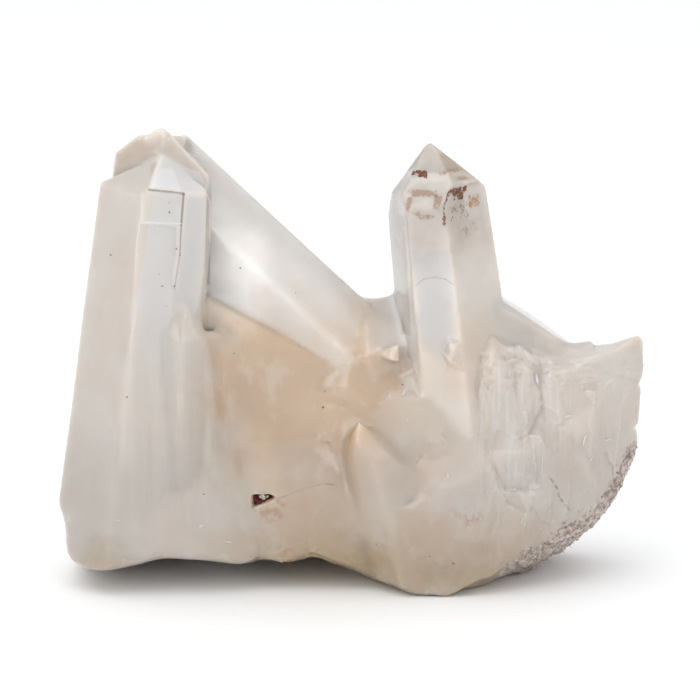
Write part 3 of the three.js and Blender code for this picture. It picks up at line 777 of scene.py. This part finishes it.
# The tower's own faces down its sides, and at its tip in front and behind, as a place on each in mm,
# and how far under them the ghost lies.
TOWER_SIDES = [(13.6, -14.8, 62.5), (23.0, -11.7, 61.9), (7.7, -2.5, 64.1)]
TOWER_POINT = [(11.8, -10.3, 76.8), (19.2, -10.7, 77.8)]
TOWER_BACK = [(11.2, -1.6, 74.9), (17.4, -0.5, 76.8)]
GHOST_UNDER = 1.1
GHOST_BELOW = 3.4
GHOST_FAR = 1.6  # how much deeper it lies on the sides that face away, which mirror the near ones
TOWER_AXIS = (15.2, -6.5)
GHOST_SLOPE = ((0, 0.35, 1), (15, 7.5, 70))  # which way its flat top faces, and a place on that
GHOST_FOOT = 40
ghost_under = ((TOWER_SIDES, GHOST_UNDER), (TOWER_POINT, GHOST_BELOW), (TOWER_BACK, GHOST_UNDER))
planes = []
for places, under in ghost_under:
    for place in places:
        on_face, normal, _, _ = facet_tree.find_nearest(Vector(place) * MM)
        planes.append((normal, on_face / MM - normal * under))
        if places is TOWER_SIDES:
            middle = Vector((*TOWER_AXIS, place[2]))
            across = middle + (middle - on_face / MM).dot(normal) * normal
            planes.append((-normal, across + normal * under * GHOST_FAR))
planes.append((Vector(GHOST_SLOPE[0]).normalized(), Vector(GHOST_SLOPE[1])))
planes.append((Vector((0, 0, -1)), Vector((0, 0, GHOST_FOOT))))
ghost_body = body_inside(planes)
bmesh.ops.bevel(ghost_body, geom=ghost_body.edges[:], offset=0.35, segments=2, affect="EDGES")
bmesh.ops.triangulate(ghost_body, faces=ghost_body.faces[:])
bmesh.ops.subdivide_edges(ghost_body, edges=ghost_body.edges[:], cuts=3, use_grid_fill=True)
bmesh.ops.scale(ghost_body, vec=(MM, MM, MM), verts=ghost_body.verts)
ghost_mesh = bpy.data.meshes.new("tower_ghost")
ghost_body.to_mesh(ghost_mesh)
ghost_mesh.shade_smooth()

cloud = Finish("ghost_cloud")
haze = cloud.cloud(3.2, 5, (1, 1, 0.6))
wisps = cloud.cloud(1.2, 5, (1, 1, 0.4))
pale = cloud.blend(tone(226, 216, 202), tone(246, 242, 236), haze.eased(0.35, 0.65))
pale = cloud.blend(pale, tone(214, 190, 160), wisps.eased(0.55, 0.75) * 0.5)
cloudy = cloud.shaded({"IOR": 1.544, "Subsurface Weight": 0.6, "Subsurface Scale": 0.002,
                       "Subsurface Radius": (1.0, 0.95, 0.9)},
                      Base_Color=pale, Roughness=0.35 + 0.3 * wisps,
                      Normal=cloud.bump(wisps, 0.3, 0.0002))
piece("tower_ghost", ghost_mesh, cloud.finished(cloudy))

# ---- The rust on the right tower -----------------------------------------------------------------
# Iron oxide that settled on the crystal late in its growth: ragged flakes and specks let into the
# skin of the tip's faces and shoulders, dark brown, pale brown and orange.

skin_tree = BVHTree.FromPolygons(
    [v.co for v in quartz_mesh.vertices], [p.vertices for p in quartz_mesh.polygons])


def on_skin(place):
    """The nearest place on the quartz's surface, in mm, and the way it faces."""
    found, normal, _, _ = skin_tree.find_nearest(Vector(place) * MM)
    return found / MM, normal


FLAKE_CELL = 0.11  # mm, of the grid that the flakes are cut on
FLAKE_THICK = 0.09
FLAKE_PROUD = 0.03  # how far they stand out of the skin


def flakes(into, hues, place, half, share, hue, seed, teeth, fine):
    """A patch of ragged flakes that follow the skin. half is half its width and height in mm,
    share how much of its middle is covered, teeth how uneven its lower edge is, and fine how much
    it breaks up into specks."""
    _, normal, _, _ = facet_tree.find_nearest(Vector(place) * MM)
    found, _ = on_skin(place)
    up = (Vector((0, 0, 1)) - normal * normal.z).normalized()
    right = up.cross(normal)
    counts = [max(2, int(2 * h / FLAKE_CELL)) for h in half]
    grid = np.array([[i, j, 0] for i in range(counts[0]) for j in range(counts[1])], np.int64)
    flat = grid * FLAKE_CELL
    u = 2 * (grid[:, 0] + 0.5) / counts[0] - 1
    v = 2 * (grid[:, 1] + 0.5) / counts[1] - 1
    grain = (0.75 - fine) * swells(flat, 0.45, seed) + (0.35 + fine) * swells(flat, 0.16, seed + 1)
    notches = teeth * swells(flat * (1, 0, 0), 0.7, seed + 2) * np.clip(0.4 - v, 0, 1)
    edge = np.maximum(abs(u) ** 3, abs(v) ** 3)
    solid = (grain + notches > 1 - 2 * share + 0.9 * edge).reshape(counts)
    for _ in range(3):  # cells that touch only by a corner are joined, so that the flake is closed
        pair = solid[:-1, :-1] & solid[1:, 1:] & ~solid[:-1, 1:] & ~solid[1:, :-1]
        solid[:-1, 1:] |= pair
        pair = solid[1:, :-1] & solid[:-1, 1:] & ~solid[:-1, :-1] & ~solid[1:, 1:]
        solid[:-1, :-1] |= pair
    rows, columns = solid.shape
    corner = {}

    def at(i, j, top):
        if (i, j, top) not in corner:
            wobble = lattice(np.array([[i, j, k] for k in range(2)], np.int64), seed + 5) * 0.3
            spread = right * ((i + wobble[0] - rows / 2) * FLAKE_CELL)
            spread += up * ((j + wobble[1] - columns / 2) * FLAKE_CELL)
            under, _ = on_skin(found + spread)
            under += normal * (FLAKE_PROUD - (0 if top else FLAKE_THICK))
            corner[i, j, top] = into.verts.new(under * MM)
        return corner[i, j, top]

    for i, j in np.argwhere(solid):
        around = [(i, j), (i + 1, j), (i + 1, j + 1), (i, j + 1)]
        made = [into.faces.new([at(*c, True) for c in around]),
                into.faces.new([at(*c, False) for c in reversed(around)])]
        for side, (di, dj) in enumerate(((0, -1), (1, 0), (0, 1), (-1, 0))):
            ni, nj = i + di, j + dj
            if 0 <= ni < rows and 0 <= nj < columns and solid[ni, nj]:
                continue
            a, b = around[side], around[(side + 1) % 4]
            made.append(into.faces.new([at(*b, True), at(*a, True), at(*a, False), at(*b, False)]))
        for face in made:
            face[hues] = hue


# A place on the skin over each patch, its half width and height, cover, hue and raggedness. Hue runs
# from 0 for pale brown and 1 for dark brown to 2 for orange and 3 for the deep red of the vug.
RUST = [
    ((12.5, -9.8, 77.8), (1.8, 0.9), 0.74, 0.8, 1.0, 0.15),
    ((18.0, -10.5, 78.4), (2.9, 0.6), 0.64, 0.05, 0.6, 0.3),
    ((20.3, -10.6, 77.2), (1.6, 0.5), 0.52, 0.15, 0.6, 0.3),
    ((13.3, -12.5, 74.6), (3.0, 0.75), 0.80, 0.0, 0.7, 0.1),
    ((10.5, -13.4, 73.0), (0.5, 1.6), 0.74, 0.0, 0.3, 0.1),
    ((15.9, -14.6, 73.2), (0.7, 1.6), 0.78, 0.05, 0.3, 0.1),
    ((19.3, -13.0, 74.7), (3.0, 1.25), 0.72, 0.8, 1.5, 0.15),
    ((22.6, -9.9, 72.9), (1.9, 1.5), 0.42, 1.6, 0.4, 0.6),
    ((19.6, -13.2, 71.4), (3.4, 2.0), 0.34, 0.4, 0.4, 0.45),
    ((17.1, -15.7, 71.2), (0.35, 3.1), 0.58, 0.55, 0.2, 0.3),
    ((20.6, -12.6, 67.6), (2.2, 1.4), 0.3, 0.1, 0.3, 0.3),
    ((14.0, -14.6, 70.6), (2.3, 0.6), 0.42, 0.3, 0.2, 0.4),
    ((12.0, -14.2, 71.2), (0.9, 0.9), 0.4, 0.1, 0.2, 0.4),
    ((22.0, -11.0, 68.6), (1.6, 1.4), 0.32, 0.1, 0.2, 0.4),
]
rust_body = bmesh.new()
rust_hue = rust_body.faces.layers.float.new("hue")
for number, (place, half, share, hue, teeth, fine) in enumerate(RUST):
    flakes(rust_body, rust_hue, place, half, share, hue, 200 + 11 * number, teeth, fine)
rust_mesh = bpy.data.meshes.new("rust_flakes")
rust_body.to_mesh(rust_mesh)

rust = Finish("iron_rust")
hue_here = rust.node("Attribute", {"attribute_name": "hue"}, out=2)
hue_here = hue_here + (rust.cloud(0.8, 4) - 0.5) * 0.7
rust_tone = rust.blend(tone(156, 133, 117), tone(100, 58, 32), hue_here.eased(0.1, 0.9))
rust_tone = rust.blend(rust_tone, tone(186, 128, 66), hue_here.eased(1.2, 1.8))
rust_tone = rust.blend(tone(112, 100, 92), rust_tone, hue_here.eased(-0.5, -0.2))
rust_tone = rust.blend(rust_tone, tone(96, 26, 12), hue_here.eased(2.2, 2.6))
mottle = rust.cloud(0.35, 4, rough=0.7)
rust_tone = rust.vector("SCALE", rust_tone, Scale=0.7 + 0.6 * mottle)
rusty = rust.shaded({"IOR": 1.6, "Specular IOR Level": 0.3}, Base_Color=rust_tone,
                    Roughness=0.55 + 0.25 * mottle, Normal=rust.bump(mottle, 0.5, 0.0001))
rust_finish = rust.finished(rusty)
piece("rust_flakes", rust_mesh, rust_finish)

# ---- The vug -------------------------------------------------------------------------------------
# A pit left open in the front of the broad crystal, lined with dark red iron oxide, with a few clean
# little quartz points in it. A rust-filled crack runs from it along the foot of the crystal.


def lump(into, place, size, seed, rounds=1, ragged=0.35, turn=None):
    """A small rough grain: a ball pushed about by noise. size is its half lengths, in mm."""
    made = bmesh.ops.create_icosphere(into, subdivisions=rounds, radius=1)["verts"]
    shape = np.array([v.co for v in made])
    shape *= (1 + ragged * swells(shape + seed * 3.7, 0.8, seed))[:, None]
    for vert, at in zip(made, shape * size):
        at = Vector(at)
        if turn is not None:
            at.rotate(turn)
        vert.co = (Vector(place) + at) * MM
    return made


def front_skin(across, height):
    """The place on the quartz's front at some x and height, in mm, and the way it faces."""
    found, normal, _, _ = skin_tree.ray_cast(Vector((across, -60, height)) * MM, Vector((0, 1, 0)))
    return found / MM, normal


# Grains round the mouth, thick on its left and under it, and thin along its flat upper edge: places
# across and up from the middle as shares of its half size, and how thick the rim is there in mm.
VUG_RIM = [
    (-0.95, 0.6, 0.34), (-0.3, 0.72, 0.16), (0.4, 0.7, 0.12), (0.98, 0.5, 0.16), (0.8, 0.1, 0.2),
    (0.2, -0.35, 0.34), (-0.4, -0.85, 0.42), (-0.95, -0.8, 0.44), (-1.0, -0.1, 0.46),
    (-0.95, 0.6, 0.34),
]
GRAINS_A_SIDE = 7
draws = np.random.default_rng(12)
lining_body = bmesh.new()
lining_hue = lining_body.faces.layers.float.new("hue")
for first, last in zip(VUG_RIM, VUG_RIM[1:]):
    for step in range(GRAINS_A_SIDE):
        u, w, thick = Vector(first).lerp(Vector(last), step / GRAINS_A_SIDE)
        at, _ = front_skin(VUG[0] + 0.9 * u * VUG_HALF[0], VUG[2] + 0.9 * w * VUG_HALF[1])
        wide, high = thick * (0.8 + 0.5 * draws.random()), thick * (0.7 + 0.5 * draws.random())
        lump(lining_body, at + Vector((0, 0.05, 0)), (wide, 0.2, high), 300 + step)
lump(lining_body, (VUG[0] - 0.1, VUG[1] + 1.8, VUG[2] - 0.1), (1.7, 0.5, 0.9), 299, 2)
for face in lining_body.faces:
    face[lining_hue] = 3.0
lining_mesh = bpy.data.meshes.new("vug_lining")
lining_body.to_mesh(lining_mesh)
piece("vug_lining", lining_mesh, rust_finish)


def little_point(into, foot, way, radius, length):
    """A six-sided quartz point with a pyramid tip, in mm."""
    turn = Vector((0, 0, 1)).rotation_difference(Vector(way).normalized())
    rings = []
    for height, wide in ((0, 1.0), (0.62 * length, 0.94)):
        ring = []
        for k in range(6):
            at = Vector((radius * wide * math.cos(k * math.pi / 3),
                         radius * wide * math.sin(k * math.pi / 3), height))
            at.rotate(turn)
            ring.append(into.verts.new((Vector(foot) + at) * MM))
        rings.append(ring)
    peak = Vector((0, 0, length))
    peak.rotate(turn)
    top = into.verts.new((Vector(foot) + peak) * MM)
    into.faces.new(list(reversed(rings[0])))
    for k in range(6):
        n = (k + 1) % 6
        into.faces.new([rings[0][k], rings[0][n], rings[1][n], rings[1][k]])
        into.faces.new([rings[1][k], rings[1][n], top])


points_body = bmesh.new()
for across, height, radius, length in (
    (-0.5, 0.3, 0.4, 1.5), (0.1, 0.35, 0.36, 1.6), (0.5, 0.2, 0.3, 1.4), (-0.1, -0.1, 0.3, 1.2),
    (0.9, 0.4, 0.24, 1.2),
):
    lean = (0.3 * draws.standard_normal(), -1, 0.35 + 0.2 * draws.standard_normal())
    little_point(points_body, (VUG[0] + across, VUG[1] + 1.3, VUG[2] + height), lean, radius, length)
points_mesh = bpy.data.meshes.new("vug_points")
points_body.to_mesh(points_mesh)

gleam = Finish("clean_quartz")
frost = gleam.cloud(0.9, 4)
# A pale tone: the vug points' own colour, and on the sparkling breaks a painted glint.
gleam_tone = gleam.blend(tone(206, 199, 192), tone(190, 180, 170), frost.eased(0.4, 0.7))
gleaming = gleam.shaded({"IOR": 1.544, "Specular IOR Level": 0.6, "Subsurface Weight": 0.3,
                         "Subsurface Scale": 0.001, "Coat Weight": 0.6, "Coat Roughness": 0.02},
                        Base_Color=gleam_tone, Roughness=0.08 + 0.14 * frost,
                        Normal=gleam.bump(frost, 0.25, 0.0001))
gleam_finish = gleam.finished(gleaming)
piece("vug_points", points_mesh, gleam_finish)

CRACK = [(-14.6, 17.7), (-13.2, 17.8), (-12.3, 18.2), (-10.6, 18.7), (-8.8, 19.5), (-6.5, 20.1),
         (-4.8, 20.4), (-3.3, 20.2)]
crack_body = bmesh.new()
crack_hue = crack_body.faces.layers.float.new("hue")
CRACK_GRAINS = 9  # on each straight stretch
for first, last in zip(CRACK, CRACK[1:]):
    for step in range(CRACK_GRAINS):
        at, normal = front_skin(*Vector(first).lerp(Vector(last), step / CRACK_GRAINS))
        size = 0.04 + 0.05 * draws.random()
        lump(crack_body, at - normal * 0.02, (size * 1.6, size, size * 0.8), 400 + step)
# Grains right of x -6.8 take an orange-brown hue, a painted highlight at the crack's end; the rest
# are grey-brown rust.
for face in crack_body.faces:
    face[crack_hue] = 0.05 + 1.5 * (face.calc_center_median().x / MM > -6.8)
crack_mesh = bpy.data.meshes.new("crack_fill")
crack_body.to_mesh(crack_mesh)
piece("crack_fill", crack_mesh, rust_finish)

# ---- The specks ----------------------------------------------------------------------------------
# Pinhead pits and grains of dark mineral on the growth faces, half sunk in the quartz.

SPECKS = [
    (-33.5, -19.3, 74.0), (-33.5, -19.4, 72.3), (-32.1, -19.0, 65.3), (-35.4, -20.2, 60.9),
    (-34.9, -20.1, 58.6), (-32.7, -19.4, 58.5), (-34.2, -19.9, 54.8), (-44.4, -17.3, 63.9),
    (-41.5, -22.6, 38.2), (-23.4, -11.9, 44.2), (-16.9, -12.6, 17.2), (9.5, -13.2, 38.2),
    (-20.6, -10.6, 60.4), (-10.8, -10.6, 55.2), (-4.5, -12.0, 37.0), (-4.7, -12.0, 34.0),
    (4.0, -22.0, 9.5), (14.6, -24.6, 8.0), (19.0, -22.5, 6.5), (-27.0, -24.0, 20.0),
]
LOOSE_SPECKS = 46
speck_body = bmesh.new()
speck_hue = speck_body.faces.layers.float.new("hue")
spots = list(SPECKS)
centres = np.array([p.center for p in quartz_mesh.polygons]) / MM
back_faces = np.flatnonzero(centres[:, 1] > -4)
spots += [tuple(centres[k]) for k in draws.choice(back_faces, LOOSE_SPECKS, replace=False)]
for number, spot in enumerate(spots):
    at, normal = on_skin(spot)
    size = 0.08 + 0.08 * draws.random()
    turn = Vector((0, 0, 1)).rotation_difference(normal)
    lump(speck_body, at, (size * 1.3, size, size * 0.5), 500 + number, 2, 0.3, turn)
for face in speck_body.faces:
    face[speck_hue] = -0.6
speck_mesh = bpy.data.meshes.new("specks")
speck_body.to_mesh(speck_mesh)
piece("specks", speck_mesh, rust_finish)

# ---- The sparkling breaks ------------------------------------------------------------------------
# Splinters and steps of clean quartz at the right tower's foot, in a pale tone that paints them
# bright
# where they catch the light: painted glints. They are part of the broken stone.

SPARKS = [  # a place on the skin, half width, half height, turn in degrees
    ((9.8, -13.0, 36.0), 0.3, 0.7, 30), ((10.6, -12.4, 31.6), 0.14, 0.4, 60),
    ((43.2, -13.8, 38.1), 0.35, 0.35, 10), ((48.3, -12.9, 27.7), 0.3, 0.9, 80),
    ((-43.5, -22.9, 14.8), 0.6, 0.25, 15), ((-28.1, -22.0, 13.4), 0.7, 0.3, -30),
    ((-23.0, -21.5, 10.2), 0.9, 0.22, 10), ((33.8, -16.0, 25.5), 0.16, 2.6, 4),
    ((34.6, -15.8, 23.5), 0.13, 3.0, -2), ((35.6, -15.6, 24.2), 0.16, 2.4, 2),
    ((32.6, -16.5, 24.0), 0.1, 1.9, 6), ((30.2, -20.0, 20.3), 1.7, 0.2, 4),
    ((33.6, -19.2, 20.2), 1.6, 0.22, -4), ((29.0, -18.4, 23.6), 0.2, 1.4, -40),
    ((30.0, -16.9, 43.0), 0.14, 2.6, 14), ((31.6, -15.3, 41.0), 0.12, 2.2, 10),
    ((34.6, -15.4, 40.0), 0.35, 1.6, 4), ((27.6, -16.0, 36.2), 0.2, 1.4, -20),
    ((40.6, -15.6, 33.0), 1.4, 0.3, -10), ((43.6, -15.2, 28.4), 0.35, 1.6, 20),
    ((45.0, -14.8, 24.6), 0.9, 0.2, -50), ((36.8, -18.0, 15.4), 0.7, 0.14, 30),
    ((31.6, -20.0, 14.2), 0.14, 0.8, 30), ((34.8, -18.4, 12.6), 0.12, 0.7, -40),
    ((12.4, -14.2, 51.0), 0.25, 0.9, -10), ((19.9, -16.6, 45.6), 0.15, 1.7, -8),
    ((-30.6, -20.6, 53.0), 0.3, 0.6, 30), ((-30.0, -21.0, 51.4), 0.2, 0.5, -20),
]


def splinter(into, place, wide, tall, degrees):
    """A flat angular chip in the skin: half its width and height in mm, and its lean."""
    at, normal = on_skin(place)
    up = (Vector((0, 0, 1)) - normal * normal.z).normalized()
    right = up.cross(normal)
    lean = math.radians(degrees)
    over, under = [], []
    for turn in (0, 50, 120, 180, 235, 300):
        angle = math.radians(turn + draws.uniform(-20, 20))
        u = wide * math.sin(angle) * draws.uniform(0.45, 1)
        v = tall * math.cos(angle) * draws.uniform(0.7, 1)
        flat = at + right * (u * math.cos(lean) + v * math.sin(lean))
        flat += up * (v * math.cos(lean) - u * math.sin(lean))
        foot, _ = on_skin(flat)
        over.append(into.verts.new((foot + normal * CHIP_PROUD) * MM))
        under.append(into.verts.new((foot - normal * CHIP_DEEP) * MM))
    peak = into.verts.new((at + normal * 2.5 * CHIP_PROUD) * MM)
    base = into.verts.new((at - normal * CHIP_DEEP) * MM)
    for k in range(len(over)):
        n = (k + 1) % len(over)
        into.faces.new([over[k], over[n], peak])
        into.faces.new([under[n], under[k], base])
        into.faces.new([over[n], over[k], under[k], under[n]])


CHIP_PROUD = 0.04
CHIP_DEEP = 0.25
spark_body = bmesh.new()
for place, wide, tall, degrees in SPARKS:
    splinter(spark_body, place, wide, tall, degrees)
bmesh.ops.recalc_face_normals(spark_body, faces=spark_body.faces)
spark_mesh = bpy.data.meshes.new("sparkling_breaks")
spark_body.to_mesh(spark_mesh)
piece("sparkling_breaks", spark_mesh, gleam_finish)

# ---- The crust -----------------------------------------------------------------------------------
# A skin of grey-brown matrix grains, the rock that the cluster grew on, still stuck to the lower
# right rim.

CRUST_GRAINS = 1500
crust_body = bmesh.new()
GRAIN_EDGE = -1.0  # mm, how far past the crust's inner line the grains reach
GRAIN_ENDS = (27, 14, 0.6)  # they lie right of, in front of and above these
on_rim = rim_depth(centres) > GRAIN_EDGE
on_rim &= (centres[:, 0] > GRAIN_ENDS[0]) & (centres[:, 1] < GRAIN_ENDS[1])
on_rim &= centres[:, 2] > GRAIN_ENDS[2]
areas = np.array([p.area for p in quartz_mesh.polygons])
weight = np.where(on_rim, areas, 0)
chosen = draws.choice(len(centres), CRUST_GRAINS, p=weight / weight.sum())
for number, k in enumerate(chosen):
    normal = quartz_mesh.polygons[k].normal
    size = 0.08 + 0.2 * draws.random() ** 2.2
    reach = size * draws.uniform(0.75, 1.2, 3)
    at = centres[k] + draws.uniform(-0.2, 0.2, 3) - np.array(normal) * 0.35 * size
    at[2] = max(at[2], 1.5 * size)
    at = np.clip(at, low_corner + 0.5, high_corner - 0.5)
    lump(crust_body, at, reach, 700 + number % 90, 1, 0.22)
crust_mesh = bpy.data.meshes.new("crust_grains")
crust_body.to_mesh(crust_mesh)

matrix = Finish("matrix_grains")
kinds = matrix.cloud(0.7, 3, rough=0.7)
crust_colour = matrix.blend(tone(110, 92, 78), tone(176, 160, 148), kinds.eased(0.36, 0.5))
crust_colour = matrix.blend(crust_colour, tone(198, 188, 178), kinds.eased(0.56, 0.68))
fine = matrix.cloud(0.25, 4)
grainy = matrix.shaded({"IOR": 1.5}, Base_Color=crust_colour, Roughness=0.7 + 0.25 * fine,
                       Normal=matrix.bump(fine, 0.6, 0.0001))
piece("crust_grains", crust_mesh, matrix.finished(grainy))

# ---- The studio ----------------------------------------------------------------------------------
# A wide pale table and an even pale room. One big soft lamp hangs overhead and a smaller one stands
# at the front left. A cool glow comes off the table in front, and has no mirror image in the stone.

floor_mesh = bpy.data.meshes.new("table")
HALF_TABLE = 3.0
floor_mesh.from_pydata(
    [(-HALF_TABLE, -HALF_TABLE, 0), (HALF_TABLE, -HALF_TABLE, 0), (HALF_TABLE, HALF_TABLE, 0),
     (-HALF_TABLE, HALF_TABLE, 0)], [], [(0, 1, 2, 3)])
table_top = bpy.data.objects.new("table", floor_mesh)
bpy.context.scene.collection.objects.link(table_top)
paper = Finish("white_paper")
paper_tone = paper.blend(tone(250, 250, 250), tone(247, 247, 247), paper.cloud(60))
floor_mesh.materials.append(paper.finished(paper.shaded({"Roughness": 0.6}, Base_Color=paper_tone)))

room = bpy.data.worlds.new("room")
room.use_nodes = True
sky = room.node_tree.nodes["Background"]
sky.inputs["Color"].default_value = (0.97, 0.985, 1.0, 1)
sky.inputs["Strength"].default_value = 1.03
bpy.context.scene.world = room


def lamp(name, place, aim, size, watts, colour, mirrored=True):
    light = bpy.data.lights.new(name, "AREA")
    light.shape = "RECTANGLE"
    light.size, light.size_y = size
    light.energy = watts
    light.color = colour
    holder = bpy.data.objects.new(name, light)
    holder.location = place
    holder.rotation_euler = (Vector(aim) - Vector(place)).to_track_quat("-Z", "Y").to_euler()
    holder.visible_camera = False
    holder.visible_glossy = mirrored
    bpy.context.scene.collection.objects.link(holder)


MIDDLE = (0, 0, 0.04)
lamp("overhead", (-0.25, -0.15, 0.9), MIDDLE, (1.0, 0.9), 2.4, (1.0, 0.985, 0.96))
lamp("front_left", (-0.75, -0.75, 0.45), MIDDLE, (0.6, 0.5), 1.2, (1.0, 0.98, 0.96))
lamp("table_glow", (0.05, -0.42, 0.004), (0.05, -0.42, 1), (0.9, 0.5), 3.0, (0.88, 0.94, 1.0), False)

camera_data = bpy.data.cameras.new("camera")
camera_data.lens = 169
camera = bpy.data.objects.new("camera", camera_data)
TARGET = Vector((-0.0003, -0.008, 0.044))
ELEVATION = math.radians(12)
DISTANCE = 0.62
away = Vector((0, -math.cos(ELEVATION), math.sin(ELEVATION)))
camera.location = TARGET + away * DISTANCE
camera.rotation_euler = (-away).to_track_quat("-Z", "Y").to_euler()
camera_data.clip_end = 20
bpy.context.scene.collection.objects.link(camera)
bpy.context.scene.camera = camera
bpy.context.scene.view_settings.view_transform = "Standard"
